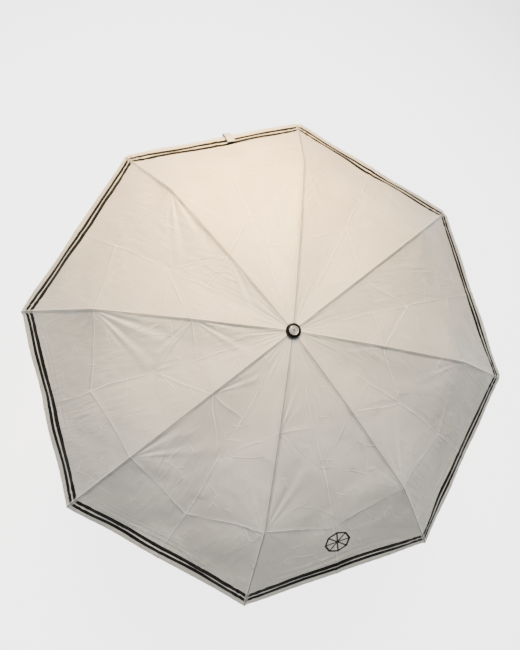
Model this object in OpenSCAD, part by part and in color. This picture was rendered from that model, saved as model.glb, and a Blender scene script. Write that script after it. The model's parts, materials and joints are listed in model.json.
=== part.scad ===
// Folding umbrella with eight three-section ribs, shown open.
// Millimetres. +Z runs up the shaft to the ferrule; the origin is the centre of the handle's grip.
// Rib 1 lies along +X, and the others follow every 45 degrees, counter-clockwise from above.
// Each rib is built in its own plane: x outward, z up, and y across the rib.

/* [Canopy ribs] */
// Drop of the inner ribs below level when open, degrees
inner_drop = 8; // [5:0.5:12]
// Drop of the middle ribs below level when open, degrees
middle_drop = 13; // [10:0.5:20]
// Drop of the outer ribs below level when open, degrees
outer_drop = 41; // [30:0.5:50]
// Inner rib, crown pin to elbow pin
inner_len = 163; // [150:1:180]
// Middle rib, elbow pin to outer pin
middle_len = 173; // [160:1:185]
// Outer rib, outer pin to tip
outer_len = 190; // [170:1:200]
// Crown pin to stretcher pin, and the stretcher's own length
arm_len = 96; // [85:1:110]
// Height of the elbow pin above the inner rib's centre line
elbow_rise = 2.6; // [2.2:0.1:3]
// Depth of the outer pin below the line of the fabric
outer_sink = 4.4; // [4:0.1:5]

/* [Shaft] */
// Height of the crown pins above the handle's centre, shaft extended
crown_z = 501; // [480:1:520]
// Radius of the circles on which the crown and runner pins lie
pin_circle_r = 10.5; // [10:0.1:12]
// Outer radius of the lower tube
lower_r = 6.5; // [6:0.1:7]
// Outer radius of the middle tube
middle_r = 5.8; // [5:0.1:6]
// Outer radius of the upper tube
upper_r = 5.05; // [4:0.05:5.5]
// Wall of the tubes
tube_wall = 0.6; // [0.4:0.05:1]

/* [Handle] */
// Radius of the grip
grip_r = 16; // [13:0.5:18]
// Length of the straight part of the grip
grip_len = 48; // [40:1:60]
// Radius of the release button
button_r = 3.2; // [2.5:0.1:4]
// Travel of the release button
button_travel = 2.5; // [2:0.1:3]
// Radius of the wrist loop's hole
loop_hole_r = 2; // [1.5:0.1:2.5]

/* [Ferrule] */
// Radius of the cap on top of the canopy
cap_r = 13.2; // [11:0.1:14]
// Radius of the disc set into the cap
disc_r = 8.0; // [7:0.1:9]

/* [Show] */
// One node by name, or all of them

/* [Hidden] */
$fn = 48;
ribs = 8;
rib_step = 360 / ribs;
rib_ids = [1 : ribs];

// Names of all the nodes
per_rib = ["inner_rib", "stretcher", "control_link", "middle_rib", "outer_rib"];
single = [
    "handle_grip", "handle_end_cap", "handle_collar", "release_button", "button_spring",
    "lower_tube", "middle_tube", "middle_tube_bush", "upper_tube", "upper_tube_bush",
    "opening_spring", "crown", "crown_pins", "ferrule_cap", "ferrule_disc",
    "runner", "runner_pins", "runner_latch", "canopy", "tie_strap"
];

// Pins and running clearances
pin_r = 0.6;
pin_bore_r = 0.65;
rivet_r = 0.8;
rivet_bore_r = 0.85;
eye_r = 1.6;
eye_half = 1.0;
slot_half = 1.2;

// Rib sections
bar_half = 1.2;
bar_h = 2.8;
bar_skin = 0.45;
neck_len = 5.5;
lug_r = 1.3;
fork_in = 1.3;
fork_out = 1.9;
middle_half = 1.5;
middle_sink = 2.6;
heel_drop = 4.9;
rod_r = 1.2;
rod_rise = 1.5;
tip_r = 2;
blade_in = 1.7;
blade_out = 2.2;
blade_low = -0.8;
blade_high = 2.4;
crank_len = 6;
link_in = 2.6;
link_out = 3.2;
link_half = 1.4;

// A point of the rib plane turned down by an angle about the origin
function turned(p, drop) = [p[0] * cos(drop) + p[1] * sin(drop), p[1] * cos(drop) - p[0] * sin(drop)];

// The rib's pins in the rib plane, with the crown pin at the origin and the canopy open
stretcher_pin = turned([arm_len, 0], inner_drop);
elbow_pin = turned([inner_len, elbow_rise], inner_drop);
outer_pin = elbow_pin + turned([middle_len, -outer_sink], middle_drop);
tip_point = outer_pin + turned([outer_len, rod_rise], outer_drop);
runner_z = crown_z - 2 * arm_len * sin(inner_drop);

// The stretcher rises outward by the angle at which the inner rib falls.
// Its crank pin, open, and folded, with the inner rib pointing straight down
crank_pin = stretcher_pin + turned([0, -crank_len], -inner_drop);
crank_pin_folded = [crank_len, -arm_len];
elbow_pin_folded = [elbow_rise, -inner_len];

// The heel pin on the middle rib lies where the link has one length, open and folded.
// |gap_open + turned(heel)|^2 = |gap_folded + turned(heel)|^2 is linear in the heel's x
gap_open = elbow_pin - crank_pin;
gap_folded = elbow_pin_folded - crank_pin_folded;
heel_side = 2 * (gap_open * turned([1, 0], middle_drop) - gap_folded * turned([1, 0], -90));
heel_rest = gap_open * gap_open - gap_folded * gap_folded
    - 2 * heel_drop * (gap_open * turned([0, 1], middle_drop) - gap_folded * turned([0, 1], -90));
heel_x = -heel_rest / heel_side;
heel_pin = elbow_pin + turned([heel_x, -heel_drop], middle_drop);
link_len = norm(heel_pin - crank_pin);
link_drop = -atan2((heel_pin - crank_pin)[1], (heel_pin - crank_pin)[0]);

// Heights along the shaft
slide_travel = 125;
lower_bottom = -20;
lower_top = 225;
middle_bottom = 195;
middle_top = 357;
upper_bottom = 333;
upper_top = crown_z + 2;
bush_len = 8;
crown_top = crown_z + 3.2;
cap_rim = crown_z + 5.5;
cap_top = crown_z + 13.5;
neck_top = 34;
button_z = 29;
collar_top = 38;
fabric_t = 0.4;

// Places a rib-plane part: plane k, origin at a point of the plane, turned down by drop
module in_rib(k, at, drop) {
    rotate([0, 0, rib_step * (k - 1)])
        translate([pin_circle_r + at[0], 0, crown_z + at[1]])
            rotate([0, drop, 0])
                children();
}

// A flat plate of the rib plane, between two distances across the rib
module plate(y0, y1, outline) {
    translate([0, y1, 0])
        rotate([90, 0, 0])
            linear_extrude(y1 - y0)
                polygon(outline);
}

// A round boss, pin or drill across the rib
module boss(at, r, y0, y1) {
    translate([at[0], y1, at[1]])
        rotate([90, 0, 0])
            cylinder(r = r, h = y1 - y0);
}

// A channel along the rib, open below
module channel(x0, x1, half, centre) {
    difference() {
        translate([x0, -half, centre - bar_h / 2])
            cube([x1 - x0, 2 * half, bar_h]);
        translate([x0 - 1, -half + bar_skin, centre - bar_h / 2 - 1])
            cube([x1 - x0 + 2, 2 * (half - bar_skin), bar_h + 1 - bar_skin]);
    }
}

// A tube on the shaft's axis
module tube(z0, z1, r_out, r_in) {
    translate([0, 0, z0])
        difference() {
            cylinder(r = r_out, h = z1 - z0);
            translate([0, 0, -1])
                cylinder(r = r_in, h = z1 - z0 + 2);
        }
}

// Points of a coil of wire, as rings of a closed sweep
function coil_ring(a, r, rise, wire, sides) = [
    for (j = [0 : sides - 1])
        let (b = 360 * j / sides, q = r + wire * cos(b))
        [q * cos(a), q * sin(a), rise * a / 360 + wire * sin(b)]
];

// A helical spring from z = 0 up, with a number of turns
module coil(r, wire, turns, rise, sides = 6, steps = 12) {
    count = turns * steps;
    points = [for (i = [0 : count]) each coil_ring(360 * i / steps, r, rise, wire, sides)];
    walls = [
        for (i = [0 : count - 1]) for (j = [0 : sides - 1])
            let (a = i * sides + j, b = i * sides + (j + 1) % sides)
            each [[a, a + sides, b], [b, a + sides, b + sides]]
    ];
    first = [for (j = [0 : sides - 1]) j];
    last = [for (j = [0 : sides - 1]) count * sides + sides - 1 - j];
    polyhedron(points, concat([first, last], walls));
}

// Slots for the eight rib eyes, and the holes of their pins
module pin_slots(z0, z1) {
    for (k = rib_ids)
        rotate([0, 0, rib_step * (k - 1)])
            translate([7.5, -slot_half, z0])
                cube([10, 2 * slot_half, z1 - z0]);
}

module pin_holes(z) {
    for (k = rib_ids)
        rotate([0, 0, rib_step * (k - 1)])
            translate([0, 0, z])
                boss([pin_circle_r, 0], pin_bore_r, -3, 3);
}

module pin_set(z) {
    for (k = rib_ids)
        rotate([0, 0, rib_step * (k - 1)])
            translate([0, 0, z])
                boss([pin_circle_r, 0], pin_r, -2.6, 2.6);
}

// ---- Handle ----

module handle_grip() {
    color("#1c1c1e")
    difference() {
        union() {
            translate([0, 0, -grip_len / 2])
                cylinder(r = grip_r, h = grip_len, $fn = 96);
            translate([0, 0, grip_len / 2])
                cylinder(r1 = grip_r, r2 = 14.5, h = 1);
            translate([0, 0, grip_len / 2])
                cylinder(r = 14.5, h = neck_top - grip_len / 2);
        }
        translate([0, 0, -30])
            cylinder(r = lower_r + 0.05, h = 80);
        translate([0, 0, -25])
            difference() {
                cylinder(r = 13.6, h = 45);
                cylinder(r = 8.5, h = 45);
            }
        translate([0, 0, button_z])
            rotate([90, 0, 0]) {
                cylinder(r = button_r + 0.08, h = 20);
                cylinder(r = 4, h = 10.4);
            }
    }
}

module handle_end_cap() {
    color("#151517")
    difference() {
        union() {
            rotate_extrude($fn = 96)
                polygon([
                    [0, -30], [10, -30], [13.2, -29], [15, -27], [15.8, -24.5], [15.8, -24],
                    [13.5, -24], [13.5, -21], [12, -21], [12, -24], [0, -24]
                ]);
            translate([-2.5, -4.5, -34])
                cube([5, 9, 5]);
            translate([-2.5, 0, -34])
                rotate([0, 90, 0])
                    cylinder(r = 4.5, h = 5);
        }
        translate([-5, 0, -34])
            rotate([0, 90, 0])
                cylinder(r = loop_hole_r, h = 10);
    }
}

module handle_collar() {
    color("#c9ccd0")
    rotate_extrude($fn = 96)
        polygon([
            [lower_r + 0.05, neck_top], [13, neck_top], [13.3, neck_top + 0.5], [13.3, neck_top + 2],
            [11.5, collar_top], [lower_r + 0.05, collar_top]
        ]);
}

module release_button() {
    color("#3a3c40")
    translate([0, 0, button_z])
        rotate([90, 0, 0])
            rotate_extrude()
                polygon([
                    [0, 13], [2.2, 13], [2.2, 9.4], [3.8, 9.4], [3.8, 10.2], [button_r, 10.2],
                    [button_r, 16.6], [button_r - 0.4, 17], [0, 17]
                ]);
}

module button_spring() {
    color("#b8bbc0")
    translate([0, -7.1, button_z])
        rotate([90, 0, 0])
            coil(1.7, 0.25, 4, 1.35);
}

// ---- Shaft ----

module lower_tube() {
    color("#b4b7bb")
    difference() {
        tube(lower_bottom, lower_top, lower_r, lower_r - tube_wall);
        translate([0, 0, lower_top - 12])
            rotate([90, 0, 0])
                cylinder(r = 1.6, h = 10);
    }
}

module middle_tube() {
    color("#bec1c5")
    tube(middle_bottom, middle_top, middle_r, middle_r - 0.65);
}

module middle_tube_bush() {
    color("#2c2c2e")
    difference() {
        union() {
            translate([0, 0, middle_bottom - bush_len])
                cylinder(r = lower_r - tube_wall - 0.05, h = bush_len);
            translate([0, 0, middle_bottom - 1])
                cylinder(r = middle_r - 0.7, h = 5);
        }
        translate([0, 0, middle_bottom - bush_len - 1])
            cylinder(r = 4.3, h = 20);
    }
}

module upper_tube() {
    color("#c8cbce")
    tube(upper_bottom, upper_top, upper_r, upper_r - tube_wall);
}

module upper_tube_bush() {
    color("#2c2c2e")
    difference() {
        union() {
            translate([0, 0, upper_bottom - bush_len])
                cylinder(r = middle_r - 0.7, h = bush_len);
            translate([0, 0, upper_bottom - 1])
                cylinder(r = upper_r - tube_wall - 0.05, h = 5);
        }
        translate([0, 0, upper_bottom - bush_len - 1])
            cylinder(r = 3.6, h = 20);
    }
}

module opening_spring() {
    color("#9a9da2")
    translate([0, 0, -16])
        coil(4.8, 0.5, 16, 12.6);
}

// ---- Crown and ferrule ----

module crown() {
    color("#161618")
    difference() {
        union() {
            translate([0, 0, crown_z - 5])
                cylinder(r = 13, h = 8.2, $fn = 96);
            translate([0, 0, crown_z - 12])
                cylinder(r = 8.2, h = 12);
        }
        translate([0, 0, crown_z - 13])
            cylinder(r = upper_r + 0.02, h = 15.2);
        translate([0, 0, crown_z])
            cylinder(r = 4, h = 10);
        pin_slots(crown_z - 6, crown_z + 1.8);
        pin_holes(crown_z);
    }
}

module crown_pins() {
    color("#c0c2c6")
    pin_set(crown_z);
}

module ferrule_cap() {
    color("#0d0d0f")
    difference() {
        union() {
            rotate_extrude($fn = 96)
                polygon(concat(
                    [[0, cap_rim], [cap_r - 0.4, cap_rim], [cap_r, cap_rim + 0.5], [cap_r, cap_rim + 3]],
                    [for (a = [15 : 15 : 75])
                        [disc_r + 0.9 + (cap_r - disc_r - 0.9) * cos(a),
                         cap_rim + 3 + (cap_top - cap_rim - 3) * sin(a)]],
                    [[disc_r + 0.9, cap_top], [0, cap_top]]
                ));
            translate([0, 0, crown_z - 10])
                cylinder(r = 3.9, h = 16);
        }
        translate([0, 0, cap_top - 1.2])
            cylinder(r = disc_r + 0.1, h = 5);
    }
}

module ferrule_disc() {
    color("#b9bbbd")
    translate([0, 0, cap_top - 1.15])
        difference() {
            cylinder(r = disc_r, h = 0.9);
            for (r = [5.6, 7.4])
                translate([0, 0, 0.6])
                    difference() {
                        cylinder(r = r + 0.2, h = 1);
                        cylinder(r = r - 0.2, h = 1);
                    }
        }
}

// ---- Runner ----

module runner() {
    color("#1a1a1c")
    difference() {
        union() {
            translate([0, 0, runner_z - 3.5])
                cylinder(r = 13, h = 6.5, $fn = 96);
            translate([0, 0, runner_z - 20])
                cylinder(r = 8.2, h = 20);
            translate([0, 0, runner_z - 20])
                cylinder(r = 11, h = 3);
        }
        translate([0, 0, runner_z - 21])
            cylinder(r = lower_r + 0.1, h = 30);
        pin_slots(runner_z - 1.8, runner_z + 4);
        pin_holes(runner_z);
        translate([-1.2, -10, runner_z - 14])
            cube([2.4, 5, 6]);
    }
}

module runner_pins() {
    color("#c0c2c6")
    pin_set(runner_z);
}

module runner_latch() {
    color("#303236")
    translate([0, 0, runner_z - 11]) {
        translate([-2.2, -9.9, -4.5])
            cube([4.4, 1.6, 9]);
        translate([-1, -8.5, -2])
            cube([2, 1.6, 4]);
    }
}

// ---- Ribs ----

module inner_rib() {
    color("#17181a")
    difference() {
        union() {
            boss([0, 0], eye_r, -eye_half, eye_half);
            plate(-eye_half, eye_half, [[0, -1.2], [neck_len + 3, -1.2], [neck_len + 3, 1.3], [0, 1.3]]);
            channel(neck_len, inner_len - 4, bar_half, 0);
            plate(-bar_half, bar_half, [
                [inner_len - 12, -1.4], [inner_len - 4, -1.4], [inner_len + 0.6, 1.6], [inner_len, 3.8],
                [inner_len - 4, 1.4], [inner_len - 12, 1.4]
            ]);
            boss([inner_len, elbow_rise], lug_r, -bar_half, bar_half);
            boss([inner_len, elbow_rise], pin_r, -2.2, 2.2);
            boss([arm_len, 0], rivet_r, -2.5, 2.5);
        }
        boss([0, 0], pin_bore_r, -2, 2);
    }
}

module stretcher() {
    color("#202226")
    difference() {
        union() {
            boss([0, 0], eye_r, -eye_half, eye_half);
            plate(-eye_half, eye_half, [[0, -1.2], [7, -1.2], [7, 1.4], [0, 1.4]]);
            translate([neck_len, -blade_out, blade_low])
                cube([3, 2 * blade_out, blade_high - blade_low]);
            for (y = [-blade_out, blade_in])
                translate([neck_len, y, blade_low])
                    cube([arm_len - neck_len, blade_out - blade_in, blade_high - blade_low]);
            translate([neck_len, -blade_out, blade_high - 0.5])
                cube([arm_len - 17 - neck_len, 2 * blade_out, 0.5]);
            for (y = [-blade_out, blade_in])
                boss([arm_len, 0], 2.2, y, y + blade_out - blade_in);
            plate(blade_in, blade_out, [
                [arm_len - 2, 0], [arm_len - 1.6, -crank_len], [arm_len + 1.6, -crank_len], [arm_len + 2, 0]
            ]);
            boss([arm_len, -crank_len], eye_r, blade_in, blade_out);
            boss([arm_len, -crank_len], rivet_r, blade_in, 3.6);
        }
        boss([0, 0], pin_bore_r, -2, 2);
        boss([arm_len, 0], rivet_bore_r, -3, 3);
    }
}

module control_link() {
    color("#2a2c30")
    difference() {
        union() {
            plate(link_in, link_out, [
                [0, -link_half], [link_len, -link_half], [link_len, link_half], [0, link_half]
            ]);
            for (x = [0, link_len])
                boss([x, 0], link_half + 0.2, link_in, link_out);
            boss([link_len, 0], 1.1, link_out, link_out + 0.5);
        }
        boss([0, 0], rivet_bore_r, 2, 4);
    }
}

module middle_rib() {
    channel_low = -middle_sink - bar_h / 2;
    channel_high = -middle_sink + bar_h / 2;
    color("#17181a")
    difference() {
        union() {
            for (y = [-fork_out, fork_in]) {
                boss([0, 0], eye_r, y, y + fork_out - fork_in);
                plate(y, y + fork_out - fork_in, [
                    [-1.2, -1], [4, channel_low], [12, channel_low], [12, channel_high], [1.2, 1]
                ]);
            }
            plate(fork_in, fork_out, [
                [-1.5, 0], [heel_x - 1.3, -heel_drop], [heel_x + 1.3, -heel_drop], [5, channel_low], [5, -1.5]
            ]);
            boss([heel_x, -heel_drop], 1.3, fork_in, fork_out);
            boss([heel_x, -heel_drop], rivet_r, fork_in, link_in - 0.2);
            channel(4, middle_len - 5, middle_half, -middle_sink);
            plate(-1, 1, [
                [middle_len - 14, channel_low], [middle_len - 6, channel_low],
                [middle_len - 1.2, -outer_sink - 1.2], [middle_len + 1, -outer_sink + 1.4],
                [middle_len - 5, channel_high], [middle_len - 14, channel_high]
            ]);
            boss([middle_len, -outer_sink], 1.7, -1, 1);
            boss([middle_len, -outer_sink], pin_r, -2, 2);
            // The thin wire beside the rib, and the clips that hold it
            translate([8, -2.5, -middle_sink])
                rotate([0, 90, 0])
                    cylinder(r = 0.5, h = middle_len - 18, $fn = 24);
            for (x = [14, middle_len / 2, middle_len - 16])
                translate([x - 1.5, -3.1, -middle_sink - 0.7])
                    cube([3, 2, 1.4]);
        }
        boss([0, 0], pin_bore_r, -3, 3);
    }
}

module outer_rib() {
    color("#1b1c1f")
    difference() {
        union() {
            for (y = [-1.7, 1.1]) {
                boss([0, 0], eye_r, y, y + 0.6);
                plate(y, y + 0.6, [[0, -1.6], [4.5, 0], [9, 0.3], [9, 2.7], [0, 1.6]]);
            }
            translate([7, -1.7, 0.3])
                cube([5, 3.4, 2.4]);
            translate([9, 0, rod_rise])
                rotate([0, 90, 0])
                    cylinder(r = rod_r, h = outer_len - 10);
            translate([outer_len - 13, 0, rod_rise])
                rotate([0, 90, 0])
                    cylinder(r1 = 1.5, r2 = tip_r, h = 13);
            translate([outer_len, 0, rod_rise])
                sphere(r = tip_r);
        }
        boss([0, 0], pin_bore_r, -3, 3);
    }
}

// ---- Canopy ----

// The underside of the fabric over a rib, from the crown to the tip
fabric_under = [
    [8, crown_top + 0.4],
    [13.8, crown_top + 0.4],
    [pin_circle_r + elbow_pin[0], crown_z + elbow_pin[1] + 2.4],
    [pin_circle_r + outer_pin[0] + 2, crown_z + outer_pin[1] + 4.7],
    [pin_circle_r + tip_point[0] + 2.4, crown_z + tip_point[1] + 2.4],
    [pin_circle_r + tip_point[0] + 4.6, crown_z + tip_point[1] - 1.5]
];

// Eight flat gores, as one thin closed shell
module canopy() {
    rings = len(fabric_under);
    points = [
        for (lift = [0, fabric_t]) for (p = fabric_under) for (k = [0 : ribs - 1])
            [p[0] * cos(rib_step * k), p[0] * sin(rib_step * k), p[1] + lift]
    ];
    function at(side, ring, k) = (side * rings + ring) * ribs + k % ribs;
    gores = [
        for (i = [0 : rings - 2]) for (k = [0 : ribs - 1]) each [
            [at(1, i, k), at(1, i, k + 1), at(1, i + 1, k + 1), at(1, i + 1, k)],
            [at(0, i, k), at(0, i + 1, k), at(0, i + 1, k + 1), at(0, i, k + 1)]
        ]
    ];
    edges = [
        for (k = [0 : ribs - 1]) each [
            [at(0, 0, k), at(0, 0, k + 1), at(1, 0, k + 1), at(1, 0, k)],
            [at(0, rings - 1, k), at(1, rings - 1, k), at(1, rings - 1, k + 1), at(0, rings - 1, k + 1)]
        ]
    ];
    color("#dcd8cb")
        polyhedron(points, concat(gores, edges));
}

// The closing strap hangs from the hem between ribs 3 and 4, inside the canopy
module tie_strap() {
    hem = fabric_under[4];
    gore_drop = atan((fabric_under[3][1] - hem[1]) / ((hem[0] - fabric_under[3][0]) * cos(rib_step / 2)));
    color("#d2cec1")
        rotate([0, 0, rib_step * 2.5])
            translate([hem[0] * cos(rib_step / 2), -30, hem[1]])
                rotate([0, gore_drop, 0])
                    translate([-58, -8, -3])
                        cube([56, 16, 0.8]);
}

handle_grip();
handle_end_cap();
handle_collar();
release_button();
button_spring();
lower_tube();
middle_tube();
middle_tube_bush();
upper_tube();
upper_tube_bush();
opening_spring();
crown();
crown_pins();
ferrule_cap();
ferrule_disc();
runner();
runner_pins();
runner_latch();
canopy();
tie_strap();
for (k = rib_ids) {
    in_rib(k, [0, 0], inner_drop) inner_rib();
    in_rib(k, [0, runner_z - crown_z], -inner_drop) stretcher();
    in_rib(k, crank_pin, link_drop) control_link();
    in_rib(k, elbow_pin, middle_drop) middle_rib();
    in_rib(k, outer_pin, outer_drop) outer_rib();
}
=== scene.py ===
import json
import math

import bmesh
import bpy
import numpy as np
from mathutils import Matrix, Vector


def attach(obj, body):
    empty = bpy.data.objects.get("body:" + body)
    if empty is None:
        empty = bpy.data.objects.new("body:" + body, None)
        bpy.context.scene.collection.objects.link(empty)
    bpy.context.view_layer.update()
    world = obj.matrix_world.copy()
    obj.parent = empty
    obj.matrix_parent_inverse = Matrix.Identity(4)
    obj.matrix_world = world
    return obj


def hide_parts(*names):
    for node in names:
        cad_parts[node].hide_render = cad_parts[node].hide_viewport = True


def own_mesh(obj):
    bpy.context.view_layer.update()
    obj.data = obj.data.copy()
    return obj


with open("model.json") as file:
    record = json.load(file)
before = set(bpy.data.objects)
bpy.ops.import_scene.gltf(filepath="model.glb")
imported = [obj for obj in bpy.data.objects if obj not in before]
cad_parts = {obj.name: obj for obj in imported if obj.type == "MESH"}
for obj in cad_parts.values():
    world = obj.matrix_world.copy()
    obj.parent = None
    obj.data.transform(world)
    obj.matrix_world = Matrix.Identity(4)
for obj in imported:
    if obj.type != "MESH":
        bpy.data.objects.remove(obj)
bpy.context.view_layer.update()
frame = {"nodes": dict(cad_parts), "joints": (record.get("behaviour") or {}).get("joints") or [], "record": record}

# ---------------------------------------------------------------- sizes, in metres
MM = 0.001
RIBS = 8
# Half the angle between two ribs
HALF = math.pi / RIBS
COS_HALF, SIN_HALF = math.cos(HALF), math.sin(HALF)
# How far the inner, middle and outer section of each rib falls when open
DROPS = [math.radians(d) for d in (8, 13, 41)]
OUTER_LEN = 190 * MM
# Height of the outer rod's centre above the line of its pin
ROD_RISE = 1.5 * MM

joints = {j["name"]: j for j in frame["joints"]}


def joint_point(name):
    return Vector(joints[name]["pos_m"])


CROWN = joint_point("canopy_fold")
ELBOW = joint_point("middle_fold_1")
OUTER = joint_point("outer_fold_1")
CROWN_TOP = CROWN.z + 3.2 * MM


def along(drop):
    """Unit vector along a rib section of rib 1 that falls by an angle."""
    return Vector((math.cos(drop), 0, -math.sin(drop)))


def above(drop):
    """Unit vector square to that section, away from the handle."""
    return Vector((math.sin(drop), 0, math.cos(drop)))


TIP = OUTER + along(DROPS[2]) * OUTER_LEN + above(DROPS[2]) * ROD_RISE

# ---------------------------------------------------------------- node material helpers


class Shader:
    """A principled material whose nodes are added one line at a time."""

    def __init__(self, name, **values):
        self.mat = bpy.data.materials.new(name)
        self.mat.use_nodes = True
        self.tree = self.mat.node_tree
        self.bsdf = self.tree.nodes["Principled BSDF"]
        for key, value in values.items():
            socket = self.bsdf.inputs[key.replace("_", " ")]
            socket.default_value = (*value, 1.0) if isinstance(value, tuple) else value

    def node(self, kind, inputs=(), out=0, **settings):
        n = self.tree.nodes.new("ShaderNode" + kind)
        for key, value in settings.items():
            setattr(n, key, value)
        for key, value in dict(inputs).items():
            self.put(n.inputs[key], value)
        return n.outputs[out]

    def put(self, socket, value):
        if isinstance(value, bpy.types.NodeSocket):
            self.tree.links.new(value, socket)
        else:
            socket.default_value = value

    def math(self, operation, a, b=0.0, clamp=False):
        return self.node("Math", {0: a, 1: b}, operation=operation, use_clamp=clamp)

    def noise(self, scale, detail=3.0, coords=None, roughness=0.55):
        if coords is None:
            coords = self.node("TexCoord", out="Object")
        inputs = {"Vector": coords, "Scale": scale, "Detail": detail, "Roughness": roughness}
        return self.node("TexNoise", inputs)

    def fit(self, value, low, high, new_low=0.0, new_high=1.0):
        inputs = {0: value, 1: low, 2: high, 3: new_low, 4: new_high}
        return self.node("MapRange", inputs, interpolation_type="SMOOTHSTEP")

    def mix(self, share, a, b):
        a = (*a, 1.0) if isinstance(a, tuple) else a
        b = (*b, 1.0) if isinstance(b, tuple) else b
        n = self.tree.nodes.new("ShaderNodeMix")
        n.data_type = "RGBA"
        for index, value in ((0, share), (6, a), (7, b)):
            self.put(n.inputs[index], value)
        return n.outputs[2]

    def attribute(self, name):
        return self.node("Attribute", out="Fac", attribute_name=name)

    def bump(self, height, distance, strength=1.0, below=None):
        inputs = {"Height": height, "Distance": distance, "Strength": strength}
        if below is not None:
            inputs["Normal"] = below
        return self.node("Bump", inputs)

    def product(self, a, b):
        return self.math("MULTIPLY", a, b)

    def within(self, value, low, high):
        """1 below low, falling to 0 at high."""
        return self.fit(value, low, high, 1.0, 0.0)

    def across_and_radius(self, coords):
        """X and Y of some coordinates, and their distance from the Z axis."""
        split = self.tree.nodes.new("ShaderNodeSeparateXYZ")
        self.put(split.inputs[0], coords)
        x, y = split.outputs[0], split.outputs[1]
        return x, y, self.math("SQRT", self.math("ADD", self.product(x, x), self.product(y, y)))

    def set(self, **links):
        for key, value in links.items():
            self.put(self.bsdf.inputs[key.replace("_", " ")], value)
        return self


def from_spoke(s, turn):
    """Angle from the middle of the eighth of a circle that a direction lies in."""
    return s.math("SUBTRACT", s.math("MODULO", turn, 2 * HALF), HALF)


def print_mask(s, uv):
    """A small printed sign: an octagon with eight spokes, like the umbrella seen from above."""
    spoke_half, rim_half, hub, blur = 0.0012, 0.0019, 0.0042, 0.0004
    local = s.node("VectorMath", {0: uv, 1: (*PRINT_AT, 0.0)}, operation="SUBTRACT")
    x, y, radius = s.across_and_radius(local)
    turn = s.math("ADD", s.math("ARCTAN2", y, x), 8 * math.pi)
    to_edge = from_spoke(s, turn)
    to_spoke = from_spoke(s, s.math("ADD", turn, HALF))
    reach = s.math("DIVIDE", s.product(radius, s.math("COSINE", to_edge)), COS_HALF)
    rim = s.math("ABSOLUTE", s.math("SUBTRACT", reach, PRINT_R))
    spoke = s.math("ABSOLUTE", s.product(radius, s.math("SINE", to_spoke)))
    inside = s.math("LESS_THAN", reach, PRINT_R)
    lines = s.product(s.within(spoke, spoke_half, spoke_half + blur), inside)
    lines = s.math("MAXIMUM", lines, s.within(radius, hub, hub + blur))
    return s.math("MAXIMUM", s.within(rim, rim_half, rim_half + blur), lines)


def band_wave(s, uv, scale, direction, distortion=0.0, detail=2.0):
    inputs = {"Vector": uv, "Scale": scale, "Distortion": distortion, "Detail": detail}
    return s.node("TexWave", inputs, out="Fac", wave_type="BANDS", bands_direction=direction)


def crumpled(s, uv):
    """The normal of plain cloth: weave, fine crumple, and streaks of pulled threads both ways."""
    twill = band_wave(s, uv, 420.0, "DIAGONAL", 0.4, 1.0)
    weave = s.product(twill, band_wave(s, uv, 300.0, "Y", 0.3, 1.0))
    normal = s.bump(weave, 0.00005, 0.35)
    normal = s.bump(s.noise(38.0, 5.0, roughness=0.6), 0.0018, 0.55, normal)
    for turn, size, height in ((0.15, (120.0, 18.0, 1.0), 0.0030), (-0.6, (90.0, 22.0, 1.0), 0.0025)):
        laid = {"Vector": uv, "Rotation": (0.0, 0.0, turn), "Scale": size}
        laid = s.node("Mapping", laid, vector_type="POINT")
        streaks = {"Vector": laid, "Scale": 1.0, "Detail": 3.0, "Distortion": 0.7}
        streaks = s.node("TexNoise", streaks)
        where = s.fit(s.noise(12.0 + 9.0 * abs(turn), 1.0), 0.42, 0.62)
        normal = s.bump(s.product(streaks, where), height, 0.85, normal)
    return normal


def creased(s, uv, base, normal):
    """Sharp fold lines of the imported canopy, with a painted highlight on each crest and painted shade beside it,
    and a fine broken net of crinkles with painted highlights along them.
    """
    crest_highlight, flank_shade = crease_mask(s)
    # Painted shade beside each fold line
    base = s.mix(s.product(flank_shade, 0.24), base, (0.40, 0.37, 0.32))
    # Painted highlight on the crest of each fold line
    base = s.mix(s.product(crest_highlight, 0.85), base, (0.98, 0.96, 0.91))
    normal = s.bump(s.math("ADD", crest_highlight, flank_shade), 0.0008, 0.8, normal)
    bent = s.node("VectorMath", {0: s.noise(9.0, 1.0), "Scale": 0.05}, operation="SCALE")
    cells = s.node("VectorMath", {0: uv, 1: bent}, operation="ADD")
    edges = s.node("TexVoronoi", {"Vector": cells, "Scale": 21.0}, feature="DISTANCE_TO_EDGE")
    crinkle_highlight = s.product(s.within(edges, 0.0, 0.035), s.fit(s.noise(19.0, 2.0), 0.5, 0.6))
    # Painted highlight along the crinkle lines
    base = s.mix(s.product(crinkle_highlight, 0.32), base, (0.93, 0.90, 0.83))
    return base, s.bump(crinkle_highlight, 0.0008, 0.8, normal)


def stripe_mask(s, hem):
    """The two dark stripes, each with a slightly wandering edge."""
    blur = 0.0003
    dark = 0.0
    for (low, high), wavelets in zip(STRIPES, (13.0, 19.0)):
        wander = s.product(s.math("SUBTRACT", s.noise(wavelets, 2.0), 0.5), 0.006)
        at = s.math("ADD", hem, wander)
        stripe = s.product(s.fit(at, low - blur, low + blur), s.within(at, high - blur, high + blur))
        dark = s.math("ADD", dark, stripe, clamp=True)
    return dark


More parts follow.
